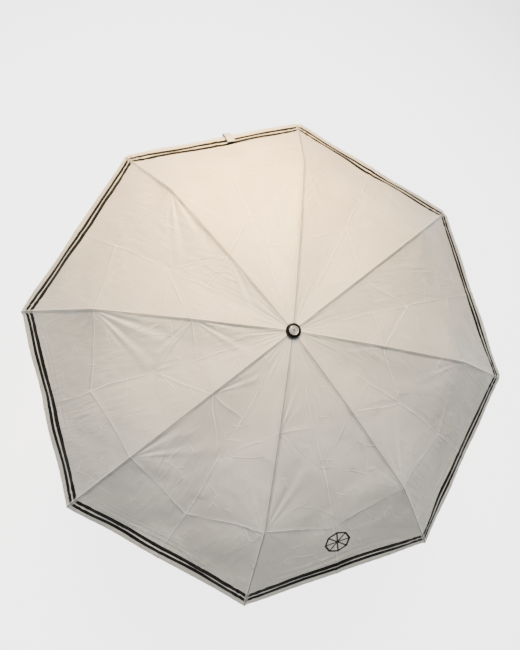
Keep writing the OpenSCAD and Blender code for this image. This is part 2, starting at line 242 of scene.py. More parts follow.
def sewn(s, uv, hem, base, normal):
    """Seams along the ribs, with a painted highlight beside each and a painted shadow line along it, and the
    turned hem with its line of stitches.
    """
    seam = s.attribute("seam")
    groove_shadow = s.within(seam, 0.0005, 0.0016)
    ridge_highlight = s.within(seam, 0.0012, 0.0044)
    # Painted highlight on the raised cloth beside each seam
    base = s.mix(s.product(ridge_highlight, 0.45), base, (0.93, 0.905, 0.84))
    # Painted shadow line along each seam
    base = s.mix(s.product(groove_shadow, 0.8), base, (0.17, 0.16, 0.14))
    fold_line = s.math("ABSOLUTE", s.math("SUBTRACT", hem, HEM_WIDTH))
    gaps = s.fit(band_wave(s, uv, 100.0, "X"), 0.3, 0.6)
    stitch = s.product(s.within(fold_line, 0.0002, 0.0007), gaps)
    base = s.mix(s.product(stitch, 0.5), base, (0.42, 0.40, 0.35))
    normal = s.bump(ridge_highlight, 0.0011, 0.9, normal)
    normal = s.bump(groove_shadow, 0.0004, -0.8, normal)
    turned = s.within(hem, HEM_WIDTH - 0.0006, HEM_WIDTH + 0.0006)
    normal = s.bump(turned, 0.0003, 0.8, normal)
    return base, s.bump(stitch, 0.0003, -0.6, normal)


def cloth_material(name, sewn_gore=True, printed=False):
    """Pale satin: twill and soft cloudiness, and on a gore also creases, seams, hem and stripes."""
    s = Shader(name, Roughness=0.36, Sheen_Weight=0.04, Sheen_Roughness=0.35, Specular_IOR_Level=0.26)
    cloud, fine = s.noise(7.0, 4.0), s.noise(900.0, 2.0)
    base = s.mix(s.fit(cloud, 0.35, 0.65), (0.60, 0.576, 0.512), (0.68, 0.653, 0.585))
    base = s.mix(s.fit(fine, 0.3, 0.7, 0.0, 0.10), base, (0.55, 0.52, 0.45))
    uv = s.node("UVMap", uv_map="pattern")
    normal = crumpled(s, uv)
    satin = s.fit(cloud, 0.3, 0.7, 0.29, 0.39)
    if sewn_gore:
        base, normal = creased(s, uv, base, normal)
        hem = s.attribute("hem")
        dark = stripe_mask(s, hem)
        if printed:
            dark = s.math("MAXIMUM", dark, print_mask(s, uv))
        ink = s.mix(s.fit(fine, 0.3, 0.7), (0.0016, 0.0016, 0.0018), (0.004, 0.004, 0.0045))
        base, normal = sewn(s, uv, hem, s.mix(dark, base, ink), normal)
        satin = s.math("MAXIMUM", satin, s.product(dark, 0.62))
    s.set(Base_Color=base, Normal=normal, Roughness=satin)
    return s.mat


def crease_lines():
    """The fold lines of one gore, as points across from its middle and out from the centre."""
    inner_node, outer_node = (0.0, INNER_NODE * HEM_M), (0.0, OUTER_NODE * HEM_M)
    lines = [(inner_node, outer_node), (outer_node, (0.0, HEM_M)), ((0.0, 0.2 * HEM_M), inner_node)]
    for side in (-1, 1):
        elbow, outer = (side * ELBOW.x * SIN_HALF, ELBOW_M), (side * OUTER.x * SIN_HALF, OUTER_M)
        lines += [(elbow, inner_node), (outer, outer_node)]
    return lines + [((-ELBOW.x * SIN_HALF, ELBOW_M), (0.0, 0.34 * HEM_M))]


def crease_mask(s):
    """Masks for a painted highlight on the crest of each fold line and painted shade beside it, 0 to 1, with a
    gentle wander.
    """
    uv = s.node("UVMap", uv_map="pattern")
    sway = {"Vector": s.node("TexCoord", out="Object"), "Scale": 14.0, "Detail": 1.0}
    sway = s.node("TexNoise", sway, out="Color")
    sway = s.node("VectorMath", {0: sway, 1: (0.5, 0.5, 0.5)}, operation="SUBTRACT")
    sway = s.node("VectorMath", {0: sway, "Scale": 0.010}, operation="SCALE")
    place = s.node("VectorMath", {0: uv, 1: sway}, operation="ADD")
    place = s.node("VectorMath", {0: place, 1: (1.0, 1.0, 0.0)}, operation="MULTIPLY")
    nearest = 1.0
    for a, b in crease_lines():
        a, b = Vector((*a, 0.0)), Vector((*b, 0.0))
        ab = b - a
        pa = s.node("VectorMath", {0: place, 1: tuple(a)}, operation="SUBTRACT")
        share = {0: pa, 1: tuple(ab / ab.length_squared)}
        share = s.node("VectorMath", share, out="Value", operation="DOT_PRODUCT")
        share = s.math("ADD", share, 0.0, clamp=True)
        on = s.node("VectorMath", {0: tuple(ab), "Scale": share}, operation="SCALE")
        gap = s.node("VectorMath", {0: pa, 1: on}, operation="SUBTRACT")
        gap = s.node("VectorMath", {0: gap}, out="Value", operation="LENGTH")
        nearest = s.math("MINIMUM", nearest, gap)
    worn = s.fit(s.noise(16.0, 2.0), 0.36, 0.56, 0.3, 1.0)
    # Painted highlight on the crest and painted shade on the flanks, also used for the folds' bump
    crest_highlight = s.product(s.within(nearest, 0.0002, 0.0016), worn)
    flank_shade = s.product(s.within(nearest, 0.0014, 0.006), worn)
    return crest_highlight, flank_shade


def painted_material(name, colour, worn, roughness, coat):
    """Paint or moulded plastic: faint mottling, fine grain and lighter rubbed patches."""
    s = Shader(name, Coat_Weight=coat, Coat_Roughness=0.08)
    patch = s.fit(s.noise(55.0, 5.0), 0.56, 0.72)
    grain = s.noise(1400.0, 2.0)
    base = s.mix(s.product(patch, 0.5), colour, worn)
    rough = s.fit(grain, 0.2, 0.8, roughness - 0.05, roughness + 0.08)
    s.set(Base_Color=base, Roughness=rough, Normal=s.bump(grain, 0.00006, 0.4))
    return s.mat


def metal_material(name, colour, roughness, direction=(1.0, 1.0, 0.02)):
    """Drawn or turned metal with fine lines along one direction and faint stains."""
    s = Shader(name, Metallic=1.0)
    coords = {"Vector": s.node("TexCoord", out="Object"), "Scale": direction}
    coords = s.node("Mapping", coords, vector_type="POINT")
    lines = s.noise(1800.0, 3.0, coords)
    stain = s.fit(s.noise(40.0, 4.0), 0.4, 0.75)
    dull = tuple(0.72 * c for c in colour)
    base = s.mix(s.product(stain, 0.35), colour, dull)
    rough = s.fit(lines, 0.25, 0.75, roughness * 0.6, roughness * 1.5)
    rough = s.math("ADD", rough, s.product(stain, 0.08))
    s.set(Base_Color=base, Roughness=rough, Normal=s.bump(lines, 0.00003, 0.25))
    return s.mat


def rubber_material(name):
    """Soft-touch rubber: matt, finely pebbled, a little dusty in the open areas."""
    s = Shader(name, Specular_IOR_Level=0.25, Sheen_Weight=0.02)
    pebble = {"Vector": s.node("TexCoord", out="Object"), "Scale": 1100.0}
    pebble = s.node("TexVoronoi", pebble, out="Distance")
    dust = s.fit(s.noise(70.0, 5.0), 0.5, 0.8)
    base = s.mix(s.product(dust, 0.4), (0.009, 0.009, 0.010), (0.026, 0.0255, 0.025))
    rough = s.fit(dust, 0.0, 1.0, 0.55, 0.72)
    s.set(Base_Color=base, Roughness=rough, Normal=s.bump(pebble, 0.00012, 0.5))
    return s.mat


def cap_material(name):
    """Glossy black lacquer with hairline polishing marks."""
    s = Shader(name, Specular_IOR_Level=0.12)
    hair = s.noise(600.0, 4.0)
    haze = s.fit(s.noise(90.0, 4.0), 0.45, 0.75)
    base = s.mix(haze, (0.0025, 0.0025, 0.003), (0.006, 0.006, 0.007))
    rough = s.fit(hair, 0.3, 0.7, 0.28, 0.42)
    s.set(Base_Color=base, Roughness=rough, Normal=s.bump(hair, 0.00002, 0.2))
    return s.mat


def disc_material(name):
    """Turned metal plate: circular brushing, and a dark ring with eight short spokes."""
    line, blur = 0.0004, 0.0003
    ring_at, spokes_to = 0.0060, 0.0048
    s = Shader(name, Metallic=1.0)
    x, y, radius = s.across_and_radius(s.node("TexCoord", out="Object"))
    brush = s.noise(1.0, 2.0, s.node("CombineXYZ", {0: s.product(radius, 9000.0), 1: 0.0, 2: 0.0}))
    to_spoke = from_spoke(s, s.math("ADD", s.math("ARCTAN2", y, x), 8 * math.pi + HALF))
    spoke = s.math("ABSOLUTE", s.product(radius, s.math("SINE", to_spoke)))
    near_hub = s.within(radius, spokes_to, spokes_to + blur)
    spoke = s.product(s.within(spoke, line, line + blur), near_hub)
    ring = s.math("ABSOLUTE", s.math("SUBTRACT", radius, ring_at))
    filled = s.math("MAXIMUM", spoke, s.within(ring, line, line + blur))
    stain = s.noise(160.0, 4.0)
    base = s.mix(s.fit(stain, 0.4, 0.7), (0.50, 0.45, 0.41), (0.31, 0.28, 0.25))
    base = s.mix(s.product(filled, 0.9), base, (0.05, 0.045, 0.04))
    normal = s.bump(filled, 0.00015, -0.8, s.bump(brush, 0.00002, 0.5))
    s.set(Base_Color=base, Roughness=s.fit(brush, 0.3, 0.7, 0.22, 0.42), Normal=normal)
    return s.mat


# ---------------------------------------------------------------- the canopy's cloth
# Cloth heights are given in mm in the functions below, where they are multiplied by MM
HEM_WIDTH = 9 * MM
# Near and far edge of each dark stripe, from the hem
STRIPES = ((10.6 * MM, 18.4 * MM), (21.2 * MM, 30.2 * MM))
# Rows of vertices from the cap to the hem, and columns across one gore
ROWS = 220
COLUMNS = 72
# How far the cloth rounds off the bends of the rib line: over a rib, and at the middle of a gore
SMOOTH_LEN = 12 * MM
DRAPE_LEN = 90 * MM
# Centre (across, out) and size of the printed sign in the flat gore, and the pieces that show it
PRINT_AT = (0.0045, 0.4204)
PRINT_R = 0.024
PRINTED = ("canopy_outer_7_left", "canopy_outer_8_right")
rng = np.random.default_rng(11)


def rib_line():
    """Radius and height of the cloth's rows: over a rib, and at a gore's middle, where it drapes."""
    drop = DROPS[2]
    fine_len, fine_rows = 16 * MM, 10
    hem = TIP - along(drop) * 1.2 * MM + above(drop) * 2.5 * MM
    knots = np.array([
        (8.0 * MM, CROWN_TOP + 0.55 * MM),
        (14.2 * MM, CROWN_TOP + 0.6 * MM),
        (ELBOW.x, ELBOW.z + 2.0 * MM),
        (OUTER.x + 1.8 * MM, OUTER.z + 5.5 * MM),
        (hem.x, hem.z),
    ])
    steps = np.hypot(*np.diff(knots, axis=0).T)
    length = np.concatenate([[0], np.cumsum(steps)])
    even = np.linspace(0, length[-1] - fine_len, ROWS - fine_rows)
    fine = np.linspace(length[-1] - fine_len, length[-1], fine_rows + 1)[1:]
    s = np.concatenate([even, fine])
    return (*smoothed(s, length, knots, SMOOTH_LEN), *smoothed(s, length, knots, DRAPE_LEN))


def smoothed(s, length, knots, reach):
    """The line through the knots, averaged over a reach either way."""
    samples = 25
    r, z = np.zeros_like(s), np.zeros_like(s)
    near_end = np.minimum(1, np.minimum(s, length[-1] - s) / reach)
    for d in np.linspace(-1, 1, samples) * reach:
        r += np.interp(s + d * near_end, length, knots[:, 0]) / samples
        z += np.interp(s + d * near_end, length, knots[:, 1]) / samples
    return r, z


def segment_distance(p, a, b):
    """Distance of points from a line segment, and how far along it each lies, 0 to 1."""
    ab = b - a
    t = np.clip(((p - a) @ ab) / (ab @ ab), 0, 1)
    return np.linalg.norm(p - (a + t[..., None] * ab), axis=-1), t


row_r, row_z, drape_r, drape_z = rib_line()
# Distance from the centre to each row along the middle of a gore, laid flat
row_steps = np.hypot(np.diff(row_r) * COS_HALF, np.diff(row_z))
row_m = np.concatenate([[0], np.cumsum(row_steps)]) + row_r[0] * COS_HALF
row_drop = np.arctan2(-np.gradient(row_z), np.gradient(row_r) * COS_HALF)
drape_drop = np.arctan2(-np.gradient(drape_z), np.gradient(drape_r) * COS_HALF)
HEM_M = row_m[-1]
ELBOW_M = float(np.interp(ELBOW.x, row_r, row_m))
OUTER_M = float(np.interp(OUTER.x, row_r, row_m))
HEM_R = row_r[-1]
# Where fold lines meet on the middle of a gore, as shares of its length
INNER_NODE, OUTER_NODE = 0.50, 0.76
# Greatest depth of the hollow between two ribs
SAG = 17 * MM
# How far each gore's hem lifts above the line of its cloth, mm
HEM_FLARE = (4.5, 5.0, 5.0, 1.5, 0.0, 0.0, 0.0, 1.5)
# Fold lines as two points of the flat gore, each across and out, with the kink's height and width, mm
CREASE_KINKS = [
    ((0, 0.26 * HEM_M), (0, INNER_NODE * HEM_M), 0.7, 5),
    ((0, INNER_NODE * HEM_M), (0, OUTER_NODE * HEM_M), -1.1, 5),
    ((0, OUTER_NODE * HEM_M), (0, HEM_M), 0.9, 5),
]
for sign in (-1, 1):
    CREASE_KINKS += [
        ((sign * ELBOW.x * SIN_HALF, ELBOW_M), (0, INNER_NODE * HEM_M), -1.4, 5),
        ((sign * OUTER.x * SIN_HALF, OUTER_M), (0, OUTER_NODE * HEM_M), 0.35, 4),
    ]


def crease_height(p):
    """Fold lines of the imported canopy, as slight kinks of the open cloth."""
    height = np.zeros(p.shape[:-1])
    for (ax, am), (bx, bm), size, width in CREASE_KINKS:
        d, t = segment_distance(p, np.array([am, ax]), np.array([bm, bx]))
        fade = 0.6 + 0.4 * np.cos(np.pi * t) ** 2
        height += size * MM * fade * np.exp(-d / (width * MM))
    return height


def fan(p, centre, way, side, lean, spread, count, size, reach, phase):
    """Folds fanning from a point to the hub (way -1) or hem (1), leaning to the gore's middle."""
    q = p - centre
    distance = np.linalg.norm(q, axis=-1)
    angle = np.arctan2(-side * q[..., 1], way * q[..., 0])
    window = np.clip(1 - ((angle - lean) / spread) ** 2, 0, 1)
    grow = distance / (reach * MM)
    wave = np.cos(count * angle + phase) + 0.4 * np.cos(1.7 * count * angle + 2 * phase)
    return size * MM * wave * window * grow * np.exp(1 - grow)


def fan_height(p, gore):
    """Tension folds: long ones on one side of each outer pin, short ones at the elbows and tips."""
    height = np.zeros(p.shape[:-1])
    for side in (-1, 1):
        pull = gore["pull"][side]
        outer = np.array([OUTER_M, side * OUTER.x * SIN_HALF])
        elbow = np.array([ELBOW_M, side * ELBOW.x * SIN_HALF])
        tip = np.array([HEM_M, side * HEM_R * SIN_HALF])
        phase = gore["phase"] + side
        height += fan(p, outer, -1, side, 0.72, 0.6, 19, 1.9 * pull, 38, phase)
        height += fan(p, outer, 1, side, 0.7, 0.6, 15, 0.7 * pull, 26, phase + 1)
        height += fan(p, elbow, -1, side, 0.55, 0.55, 22, 1.3 * pull, 30, phase + 2)
        height += fan(p, elbow, 1, side, 0.6, 0.5, 20, 1.1 * pull, 26, phase + 3)
        height += fan(p, tip, -1, side, 0.9, 0.45, 22, 0.5, 24, phase + 4)
    return height


def ripple_height(p, v, hem, gore):
    """Puckers along the stitched hem, streaks beside it, fine pleats by the hub and broad billows."""
    a, b, c = gore["billow"]
    m, y = p[..., 0], p[..., 1]
    pucker = np.sin(y / (3.4 * MM) + 1.7 * np.sin(y / (15 * MM) + gore["phase"]))
    height = 0.22 * MM * pucker * np.exp(-hem / (7 * MM))
    spread = np.clip(m / HEM_M, 0, 1)
    height += 1.2 * MM * spread * np.sin(m / (31 * MM) + a) * np.sin(y / (27 * MM) + b)
    height += 0.6 * MM * spread * np.sin(m / (17 * MM) + 0.8 * y / (17 * MM) + c)
    beside = np.clip(1.25 - 1.3 * np.abs(v - gore["streak_v"]), 0, 1)
    skirt = np.exp(-((hem - 36 * MM) / (22 * MM)) ** 2) * beside
    bend = 1.8 * np.sin(y / (34 * MM) + a) + 1.4 * np.sin(hem / (11 * MM) + b)
    height += 0.6 * MM * skirt * np.sin(hem / (1.9 * MM) + bend)
    pleat = np.sin(17 * v + c) + 0.6 * np.sin(29 * v + a)
    height += 0.45 * MM * pleat * np.exp(-((m - 45 * MM) / (38 * MM)) ** 2)
    return height


def gore_axes(g):
    """Level vectors out along the middle of gore g, and across it."""
    middle = (g + 0.5) * 2 * HALF
    out = np.array([math.cos(middle), math.sin(middle), 0])
    side = np.array([-math.sin(middle), math.cos(middle), 0])
    return out, side


def gore_points(g, v):
    """Points of gore g, between ribs g + 1 and g + 2, with its pattern, hem and seam distances."""
    tension = 1.0 if 3 <= g <= 6 else 0.45
    gore = {
        "phase": rng.uniform(0, 6.28),
        "billow": rng.uniform(0, 6.28, 3),
        "streak_v": rng.uniform(-0.3, 0.3),
        "pull": {-1: rng.uniform(0.7, 1.3) * tension, 1: rng.uniform(0.1, 0.4)},
    }
    out, side = gore_axes(g)
    up = np.array([0, 0, 1.0])
    flat_v = np.abs(v[None, :])
    slack = (1 - flat_v) ** 0.6
    r = row_r[:, None] * (1 - slack) + drape_r[:, None] * slack
    z = row_z[:, None] * (1 - slack) + drape_z[:, None] * slack
    drop = row_drop[:, None] * (1 - slack) + drape_drop[:, None] * slack
    m = row_m[:, None]
    arch = 1 - 0.3 * v[None, :] ** 2 - 0.7 * flat_v
    share = np.clip((r - row_r[0]) / (HEM_R - row_r[0]), 0, 1)
    hem = (HEM_M - m) + np.zeros_like(arch)
    p = np.stack([m + np.zeros_like(arch), v[None, :] * row_r[:, None] * SIN_HALF], -1)
    seam = (1 - flat_v) * r * SIN_HALF
    edge = np.clip(seam / (7 * MM), 0, 1)
    edge = edge * edge * (3 - 2 * edge)
    sag = SAG * np.sin(np.pi * share ** 1.15) * arch
    height = crease_height(p) + fan_height(p, gore)
    height += ripple_height(p, v[None, :] + np.zeros_like(hem), hem, gore)
    centre_fade = np.clip((r - 16 * MM) / (40 * MM), 0, 1)
    lift = height * edge * np.clip((r - 16 * MM) / (14 * MM), 0, 1) - sag
    lift += 1.4 * MM * np.exp(-(seam / (3.8 * MM)) ** 2) * centre_fade
    lift += HEM_FLARE[g] * MM * np.exp(-hem / (18 * MM)) * edge
    radial = r * COS_HALF + lift * np.sin(drop)
    rise = z + lift * np.cos(drop)
    sideways = v[None, :] * r * SIN_HALF
    points = radial[..., None] * out + sideways[..., None] * side + rise[..., None] * up
    return points, p, hem, seam


def canopy_mesh():
    """The whole canopy as one bmesh, each face marked with its rib and its side of the rib."""
    half = COLUMNS // 2
    right = 1 - np.linspace(0, 1, half + 1) ** 1.55
    v = np.concatenate([-right, right[::-1][1:]])
    bm = bmesh.new()
    layers = {n: bm.verts.layers.float.new(n) for n in ("hem", "seam", "pat_x", "pat_y")}
    rib_of = bm.faces.layers.int.new("rib")
    side_of = bm.faces.layers.int.new("side")
    grid = []
    for g in range(RIBS):
        points, pattern, hem, seam = gore_points(g, v)
        grid.append([])
        for i in range(ROWS):
            line = []
            for j in range(COLUMNS):
                vert = bm.verts.new(points[i, j])
                vert[layers["hem"]] = hem[i, j]
                vert[layers["seam"]] = seam[i, j]
                vert[layers["pat_x"]] = pattern[i, j, 0]
                vert[layers["pat_y"]] = abs(pattern[i, j, 1])
                line.append(vert)
            grid[g].append(line)
    for g in range(RIBS):
        for i in range(ROWS - 1):
            for j in range(COLUMNS):
                # The last column of a gore joins the first of the next, which lies on their rib
                gore, k = (grid[(g + 1) % RIBS], 0) if j == COLUMNS - 1 else (grid[g], j + 1)
                face = bm.faces.new((grid[g][i][j], grid[g][i + 1][j], gore[i + 1][k], gore[i][k]))
                first = j < half
                face[rib_of] = (g if first else (g + 1) % RIBS) + 1
                face[side_of] = 1 if first else -1
                face.smooth = True
    return bm, layers, rib_of, side_of


def rib_vectors(k, drop):
    """Along, above and across vectors of one section of rib k."""
    turn = Matrix.Rotation((k - 1) * 2 * HALF, 3, "Z")
    return turn @ along(drop), turn @ above(drop), turn @ Vector((0, 1, 0))


SECTIONS = ("inner_rib", "middle_rib", "outer_rib")
# The pin past each of the first two sections, where the cloth is cut
PINS = ("middle_fold", "outer_fold")


def add_object(name, mesh, mat):
    """Puts a mesh with its material into the scene."""
    mesh.materials.append(mat)
    obj = bpy.data.objects.new(name, mesh)
    bpy.context.collection.objects.link(obj)
    return obj


def cut_at_pins(bm, rib_of):
    """Cuts the cloth of each rib across at its two pins, and returns the planes."""
    cuts = {}
    for k in range(1, RIBS + 1):
        for pin, drops in zip(PINS, (DROPS[:2], DROPS[1:])):
            point, direction = joint_point(f"{pin}_{k}"), rib_vectors(k, sum(drops) / 2)[0]
            cuts[k, pin] = (point, direction)
            faces = [f for f in bm.faces if f[rib_of] == k]
            edges = {e for f in faces for e in f.edges}
            verts = {v for f in faces for v in f.verts}
            bmesh.ops.bisect_plane(
                bm, geom=faces + list(edges) + list(verts), dist=0.02 * MM,
                plane_co=point, plane_no=direction)
    return cuts


def flat_area(points, faces):
    """Area of the faces of a flat pattern."""
    area = 0.0
    for f in faces:
        x, y = points[list(f)].T
        area += 0.5 * abs(np.dot(x, np.roll(y, -1)) - np.dot(y, np.roll(x, -1)))
    return area


def cloth_piece(name, faces, layers, side, mat):
    """One piece of the cut canopy as an object, with its flat area and size."""
    verts = sorted({v for f in faces for v in f.verts}, key=lambda v: v.index)
    index = {v: i for i, v in enumerate(verts)}
    cells = [tuple(index[v] for v in f.verts) for f in faces]
    mesh = bpy.data.meshes.new(name)
    mesh.from_pydata([v.co[:] for v in verts], [], cells)
    for layer in ("hem", "seam"):
        store = mesh.attributes.new(layer, "FLOAT", "POINT")
        store.data.foreach_set("value", [v[layers[layer]] for v in verts])
    pattern = np.array([(-side * v[layers["pat_y"]], v[layers["pat_x"]]) for v in verts])
    uv = mesh.uv_layers.new(name="pattern")
    corner = np.zeros(len(mesh.loops), dtype=np.int32)
    mesh.loops.foreach_get("vertex_index", corner)
    uv.data.foreach_set("uv", pattern[corner].astype(np.float32).ravel())
    mesh.polygons.foreach_set("use_smooth", [True] * len(mesh.polygons))
    mesh.normals_split_custom_set_from_vertices([v.normal[:] for v in verts])
    return add_object(name, mesh, mat), flat_area(pattern, cells), pattern.max(0) - pattern.min(0)


def build_canopy(cloth, printed):
    """The canopy as six pieces to a rib, each riding on its rib section."""
    bm, layers, rib_of, side_of = canopy_mesh()
    cuts = cut_at_pins(bm, rib_of)
    bm.normal_update()
    bm.verts.index_update()
    groups = {}
    for f in bm.faces:
        k, centre = f[rib_of], f.calc_center_median()
        past = sum((centre - cuts[k, pin][0]).dot(cuts[k, pin][1]) > 0 for pin in PINS)
        groups.setdefault((k, f[side_of], SECTIONS[past]), []).append(f)
    for (k, side, section), faces in sorted(groups.items()):
        name = f"canopy_{section.split('_')[0]}_{k}_{'left' if side > 0 else 'right'}"
        mat = printed if name in PRINTED else cloth
        obj, area, size = cloth_piece(name, faces, layers, side, mat)
        body = f"{section}_{k}"
        finish_piece(obj, body, "canopy")
        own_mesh(obj)
    bm.free()


# ---------------------------------------------------------------- turned pieces


def lathe(name, profile, mat, segments, wobble=None):
    """A solid of revolution about the shaft; profile is radius and height pairs, bottom to top."""
    bm = bmesh.new()
    rings = []
    for r, z in profile:
        ring = []
        for i in range(segments):
            a = 2 * math.pi * i / segments
            d = wobble(a, r, z) if wobble else 0.0
            ring.append(bm.verts.new(((r + d) * math.cos(a), (r + d) * math.sin(a), z)))
        rings.append(ring)
    for low, high in zip(rings, rings[1:]):
        for i in range(segments):
            j = (i + 1) % segments
            bm.faces.new((low[i], low[j], high[j], high[i])).smooth = True
    bm.faces.new(list(reversed(rings[0])))
    bm.faces.new(rings[-1])
    mesh = bpy.data.meshes.new(name)
    bm.to_mesh(mesh)
    bm.free()
    return add_object(name, mesh, mat)


def rounded(points, radius):
    """A profile with its inner corners rounded."""
    out = [points[0]]
    for a, b, c in zip(points, points[1:], points[2:]):
        a, b, c = (np.array(p, float) for p in (a, b, c))
        la, lc = np.linalg.norm(a - b), np.linalg.norm(c - b)
        cut = min(radius, la * 0.45, lc * 0.45)
        start, end = b + (a - b) / la * cut, b + (c - b) / lc * cut
        for t in np.linspace(0, 1, 5):
            out.append(tuple((1 - t) ** 2 * start + 2 * t * (1 - t) * b + t * t * end))
    return out + [points[-1]]


def finish_piece(obj, body, node):
    """Says what a piece rides on and which CAD node it replaces."""
    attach(obj, body)
    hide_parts(node)


def ferrule(cap_mat, disc_mat):
    """The glossy dome on top of the canopy and the turned plate set into it."""
    z = CROWN.z
    foot, rim, top = z - 10 * MM, z + 5.5 * MM, z + 13.5 * MM
    shoulder = rim + 3 * MM
    dome = [(8.9 * MM + 4.3 * MM * math.cos(a), shoulder + (top - shoulder) * math.sin(a))
            for a in np.linspace(0, math.pi / 2, 14)]
    outside = [
        (2 * MM, foot), (3.9 * MM, foot), (3.9 * MM, rim), (12.7 * MM, rim),
        (13.2 * MM, rim + 0.8 * MM), dome[0],
    ]
    seat = [
        (8.6 * MM, top), (8.15 * MM, top - 0.1 * MM),
        (8.1 * MM, top - 1.2 * MM), (0.4 * MM, top - 1.2 * MM),
    ]
    profile = rounded(outside, 0.5 * MM) + dome[1:] + rounded(seat, 0.2 * MM)
    cap = lathe("ferrule_dome", profile, cap_mat, 128)
    finish_piece(cap, "upper_shaft", "ferrule_cap")

    base, plate_r, thick = top - 1.15 * MM, 7.95, 0.9 * MM

    def relief(r):
        """Depth of the two turned grooves near the edge."""
        return sum(-0.16 * math.exp(-((r / MM - c) / 0.22) ** 2) for c in (7.1, 6.0)) * MM

    radii = np.linspace(plate_r, 0.15, 56) * MM
    profile = [(plate_r * MM, base)] + [(r, base + thick + relief(r)) for r in radii]
    plate = lathe("ferrule_plate", profile, disc_mat, 144)
    finish_piece(plate, "upper_shaft", "ferrule_disc")


def handle(rubber):
    """The grip: a rubber sleeve with shallow flutes between two smooth bands."""
    end, outer, lip, bore = 24 * MM, 16 * MM, 15.2 * MM, 6.7 * MM
    neck_top = 34 * MM

    def flutes(a, r, z):
        inside = np.clip((19 * MM - abs(z)) / (3 * MM), 0, 1) * (r > 15 * MM)
        return -0.45 * MM * float(inside) * (0.5 + 0.5 * math.cos(20 * a)) ** 2

    side = [(outer, z) for z in np.linspace(-end + 1 * MM, end - 1 * MM, 40)]
    neck = [
        side[-1], (lip, end), (14.5 * MM, end + 0.6 * MM),
        (14.5 * MM, 33.6 * MM), (14.0 * MM, neck_top), (bore, neck_top),
    ]
    profile = rounded([(bore, -end), (lip, -end), side[0]], 0.5 * MM) + side[1:]
    profile += rounded(neck, 0.5 * MM)[1:]
    grip = lathe("grip_sleeve", profile, rubber, 160, flutes)
    finish_piece(grip, "handle", "handle_grip")


def strap_path(steps):
    """The strap's run as inward and height pairs in mm: up over the hem, round it and back below."""
    flap_end, turn_end = 0.45, 0.6
    path = []
    for i in range(steps + 1):
        t = i / steps
        if t < flap_end:
            u = t / flap_end
            path.append((30 - 39 * u, 1.6 * math.sin(math.pi * u) + 2.5 * u))
        elif t < turn_end:
            a = math.pi * (t - flap_end) / (turn_end - flap_end)
            path.append((-9 - 3.4 * math.sin(a), 2.5 - 3.2 * (1 - math.cos(a))))
        else:
            u = (t - turn_end) / (1 - turn_end)
            path.append((-9 + 46 * u, -3.9 - 4.0 * math.sin(math.pi * u) - 6.0 * u))
    return path


def tie_strap(cloth):
    """The closing strap, folded double over the hem between ribs 3 and 4."""
    gore = 2
    body, pin, rib = "outer_rib_3", "outer_fold_3", 3
    width, steps, columns = 16 * MM, 60, 9
    out, side = gore_axes(gore)
    drop = math.atan2(OUTER.z - TIP.z, (TIP.x - OUTER.x) * COS_HALF)
    hem = out * HEM_R * COS_HALF - side * 30 * MM
    hem[2] = row_z[-1]
    inward = -out * math.cos(drop) + np.array([0, 0, math.sin(drop)])
    normal = out * math.sin(drop) + np.array([0, 0, math.cos(drop)])
    hem = hem + normal * HEM_FLARE[gore] * MM
    path = strap_path(steps)
    verts, faces = [], []
    for i, (x, h) in enumerate(path):
        # The flap above the hem stands off at one side
        lean = 5.5 * min(1, i / 12) * max(0, 1 - i / (0.52 * steps))
        for c in range(columns):
            share = c / (columns - 1)
            curl = 0.5 * math.cos(2 * math.pi * share)
            height = h + 0.25 * curl + lean * share
            verts.append(hem + inward * x * MM + normal * height * MM + side * (share - 0.5) * width)
    for i in range(steps):
        for c in range(columns - 1):
            a = i * columns + c
            faces.append((a, a + 1, a + columns + 1, a + columns))
    mesh = bpy.data.meshes.new("tie_strap_cloth")
    mesh.from_pydata([tuple(v) for v in verts], [], faces)
    uv = mesh.uv_layers.new(name="pattern")
    for loop in mesh.loops:
        i, c = divmod(loop.vertex_index, columns)
        uv.data[loop.index].uv = (c * width / (columns - 1), i * 100 * MM / steps)
    mesh.polygons.foreach_set("use_smooth", [True] * len(mesh.polygons))
    obj = add_object("tie_strap_cloth", mesh, cloth)
    finish_piece(obj, body, "tie_strap")
    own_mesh(obj)


# ---------------------------------------------------------------- carried-over CAD nodes


def dress_nodes():
    """Gives every CAD node that stays in view a material of its own kind."""
    evenly = (1.0, 1.0, 1.0)
    # Slot: name, colour, colour where worn, roughness and clear coat
    painted = {
        "rib_black": ("rib_paint", (0.014, 0.014, 0.016), (0.06, 0.06, 0.062), 0.36, 0.15),
        "stretcher_black": ("stretcher_paint", (0.017, 0.017, 0.02), (0.07, 0.07, 0.072), 0.4, 0.0),
        "link_steel": ("link_paint", (0.022, 0.022, 0.025), (0.09, 0.09, 0.09), 0.38, 0.0),
        "outer_rib_black": ("rod_resin", (0.016, 0.017, 0.019), (0.05, 0.05, 0.052), 0.3, 0.3),
        "black_plastic": ("moulded_black", (0.015, 0.015, 0.016), (0.035, 0.035, 0.036), 0.5, 0.0),
        "button_plastic": ("button_grey", (0.12, 0.125, 0.135), (0.2, 0.2, 0.21), 0.34, 0.2),
    }
    kinds = {slot: painted_material(*values) for slot, values in painted.items()}
    kinds["shaft_steel"] = metal_material("shaft_chrome", (0.66, 0.67, 0.68), 0.16)
    kinds["pin_steel"] = metal_material("pin_steel", (0.58, 0.58, 0.59), 0.3, evenly)
    kinds["spring_steel"] = metal_material("spring_steel", (0.45, 0.45, 0.47), 0.3, evenly)
    slots = {s["node"]: s["material_slot"] for s in frame["record"]["subparts"]}
    for name, obj in frame["nodes"].items():
        slot = slots[name]
        if slot in kinds:
            obj.data.materials.clear()
            obj.data.materials.append(kinds[slot])
    return kinds


